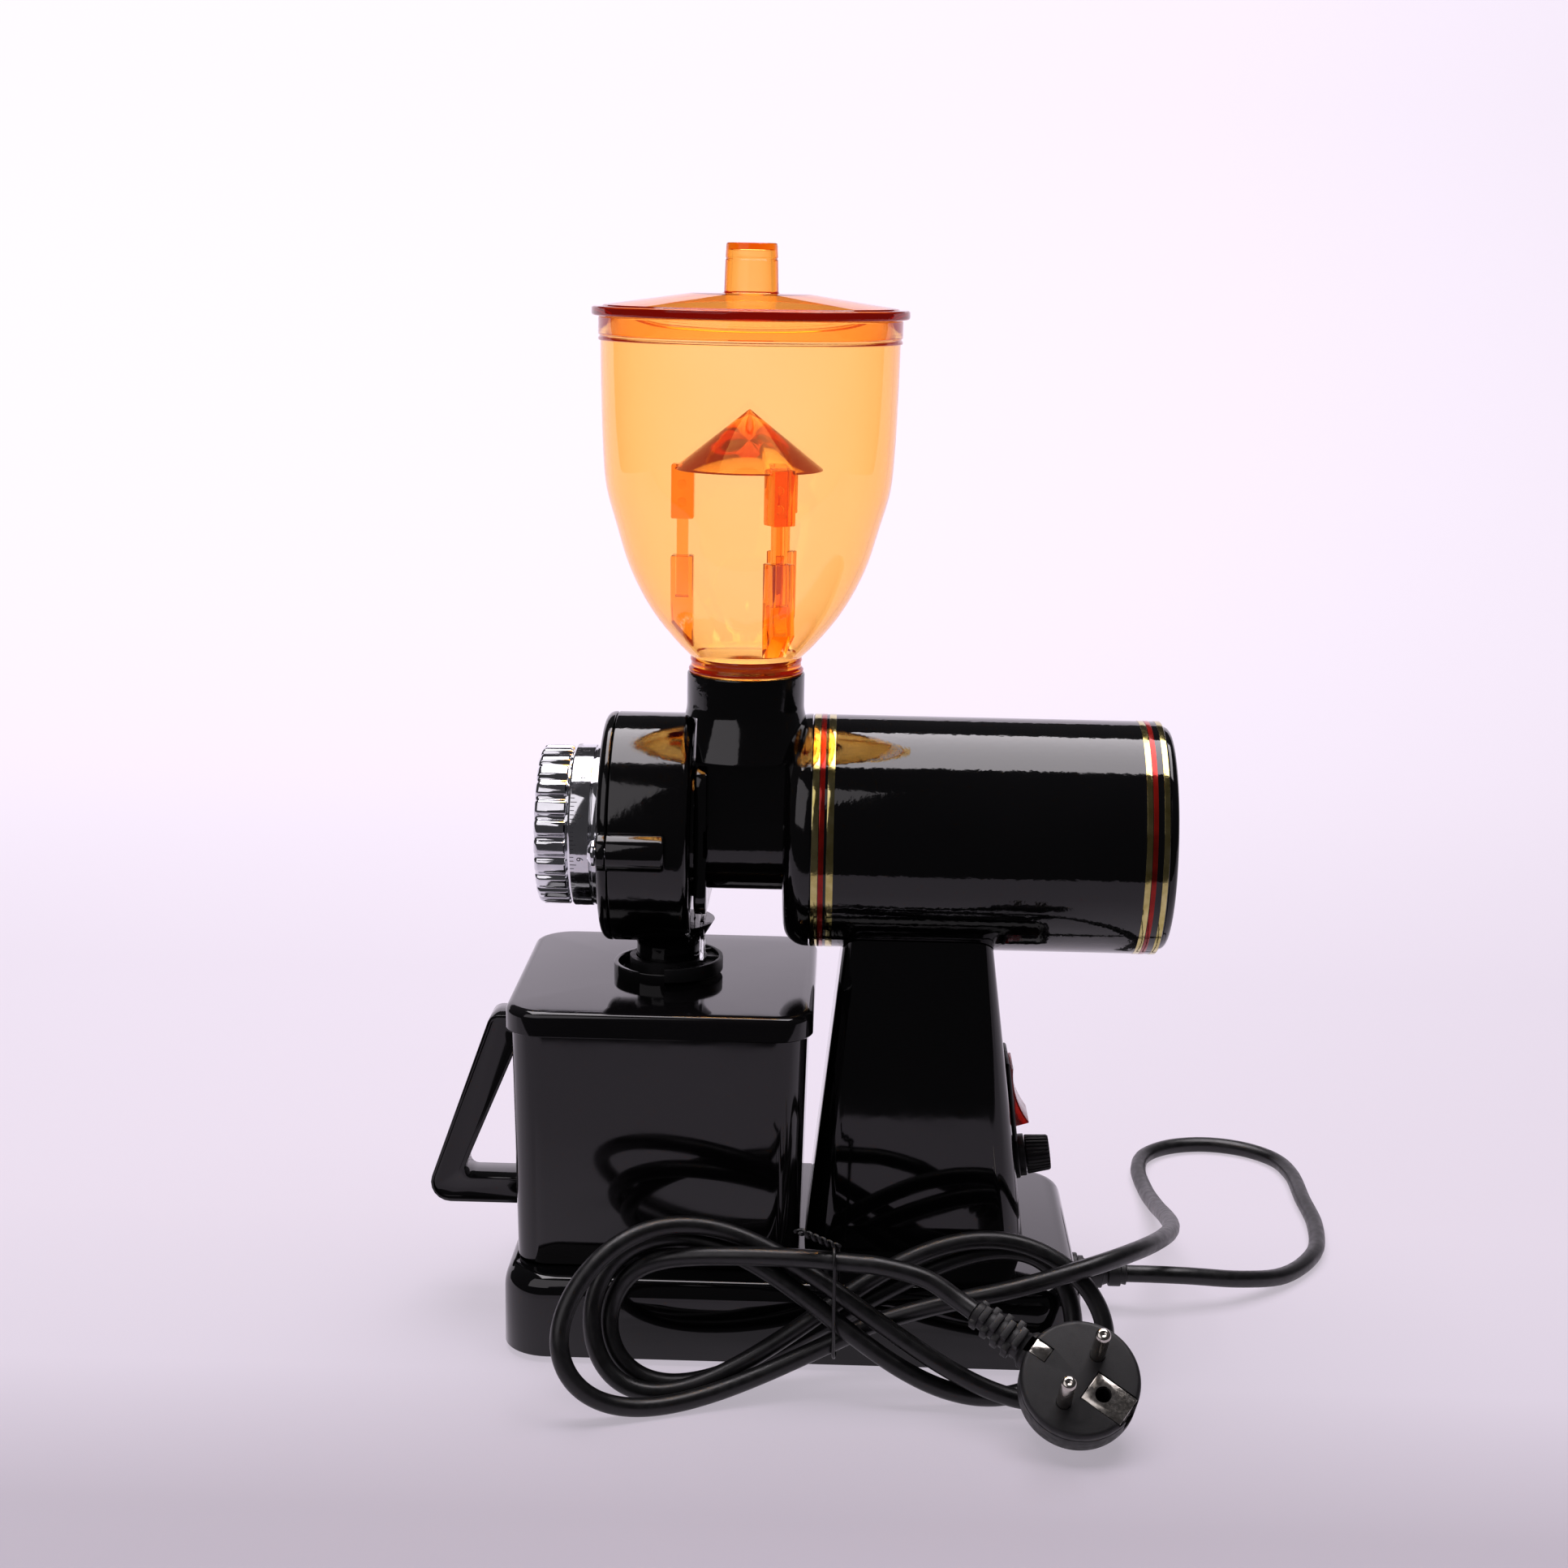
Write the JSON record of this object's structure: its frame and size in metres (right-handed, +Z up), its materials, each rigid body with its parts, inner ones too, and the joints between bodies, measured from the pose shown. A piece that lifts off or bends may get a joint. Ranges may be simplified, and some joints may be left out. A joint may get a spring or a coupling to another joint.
{
  "type": "electric coffee grinder",
  "caption": "Direct-drive flat-burr coffee grinder: clear hopper on a cast neck, motor lying behind the drum, chrome dial, square canister under the chute.",
  "frame": {"origin": "centre of the grinder's footprint box on the surface it stands on, with the mains cord left out", "axes": "+X towards the motor's rear end, -X towards the dial and the canister's handle, +Z up; the grinder mirrors itself across the XZ plane"},
  "size_m": [0.3355, 0.2909, 0.37],
  "materials": {
    "black_steel": "gloss black stove enamel on pressed steel",
    "black_casting": "gloss black stove enamel on die cast aluminium",
    "zinc_plate": "plain zinc-plated sheet",
    "rubber_feet": "matt moulded rubber",
    "matt_plastic": "fine satin moulded plastic",
    "gloss_plastic": "polished moulded ABS",
    "red_button": "translucent red moulded plastic",
    "amber_plastic": "clear amber moulded plastic",
    "clear_plastic": "clear moulded plastic",
    "clear_glass": "clear glass tube",
    "chrome_trim": "bright chrome plate",
    "burr_steel": "ground and hardened steel",
    "bearing_steel": "ground steel",
    "core_iron": "stacked silicon steel sheets",
    "copper_wire": "enamelled copper wire",
    "cord_vinyl": "satin extruded vinyl sheath",
    "plug_vinyl": "fine matt moulded vinyl",
    "pin_brass": "nickel-plated brass"
  },
  "bodies": {
    "machine": {"base_shell": "black_steel", "base_plate": "zinc_plate", "pillar": "black_steel", "foot_front_left": "rubber_feet", "foot_front_right": "rubber_feet", "foot_rear_left": "rubber_feet", "foot_rear_right": "rubber_feet", "run_capacitor": "matt_plastic", "switch_housing": "matt_plastic", "fuse_holder": "matt_plastic", "neck_casting": "black_casting", "motor_shell": "black_steel", "rear_cap": "black_casting", "stator_core": "core_iron", "winding_front": "copper_wire", "winding_rear": "copper_wire", "bearing_front": "bearing_steel", "bearing_rear": "bearing_steel", "grinding_drum": "black_casting", "chamber_cover": "black_casting", "cover_screw_near": "chrome_trim", "cover_screw_far": "chrome_trim", "chute_collar": "matt_plastic", "clear_strip": "clear_plastic", "cord_gland": "matt_plastic", "cord_lead": "cord_vinyl", "cord_hank": "cord_vinyl", "cord_tail": "cord_vinyl", "wire_tie": "cord_vinyl", "plug_body": "plug_vinyl", "plug_pin_upper": "pin_brass", "plug_pin_lower": "pin_brass", "earth_clip_upper": "pin_brass", "earth_clip_lower": "pin_brass"},
    "rotor": {"drive_shaft": "bearing_steel", "rotor_core": "core_iron", "cooling_fan": "matt_plastic", "auger": "burr_steel", "burr_spider": "burr_steel", "rotating_burr": "burr_steel"},
    "burr_feed": {"burr_carrier": "burr_steel", "fixed_burr": "burr_steel"},
    "dial": {"adjusting_dial": "chrome_trim"},
    "rocker": {"rocker_button": "red_button"},
    "fuse": {"fuse_cap": "matt_plastic", "fuse_tube": "clear_glass"},
    "hopper": {"hopper_bowl": "amber_plastic", "bean_guard": "amber_plastic"},
    "hopper_cover": {"hopper_lid": "amber_plastic"},
    "canister": {"canister_body": "gloss_plastic", "canister_handle": "gloss_plastic", "canister_lid": "gloss_plastic"}
  },
  "joints": [
    {"name": "rotor_spin", "type": "hinge", "parent": "machine", "child": "rotor", "pos_m": [-0.01648, 0, 0.1727], "axis": [1, 0, 0], "continuous": true},
    {"name": "dial_turn", "type": "hinge", "parent": "machine", "child": "dial", "pos_m": [-0.07648, 0, 0.1727], "axis": [1, 0, 0], "range_deg": [-150, 150]},
    {"name": "burr_feed_slide", "type": "slide", "parent": "machine", "child": "burr_feed", "axis": [1, 0, 0], "range_m": [-0.0005, 0.0005]},
    {"name": "rocker_tilt", "type": "hinge", "parent": "machine", "child": "rocker", "pos_m": [0.07543, 0, 0.07934], "axis": [0, 1, 0], "range_deg": [0, 20]},
    {"name": "fuse_cap_turn", "type": "hinge", "parent": "machine", "child": "fuse", "pos_m": [0.08053, 0, 0.056], "axis": [0.9914, 0, 0.1309], "range_deg": [0, 90]},
    {"name": "hopper_lift", "type": "slide", "parent": "machine", "child": "hopper", "axis": [0, 0, 1], "range_m": [0, 0.08]},
    {"name": "hopper_lid_lift", "type": "slide", "parent": "hopper", "child": "hopper_cover", "axis": [0, 0, 1], "range_m": [0, 0.06]},
    {"name": "canister_pull", "type": "slide", "parent": "machine", "child": "canister", "axis": [-1, 0, 0], "range_m": [0, 0.2]}
  ],
  "couplings": [
    {"joint": "burr_feed_slide", "follows": "dial_turn", "m_per_rad": 0.00019}
  ]
}
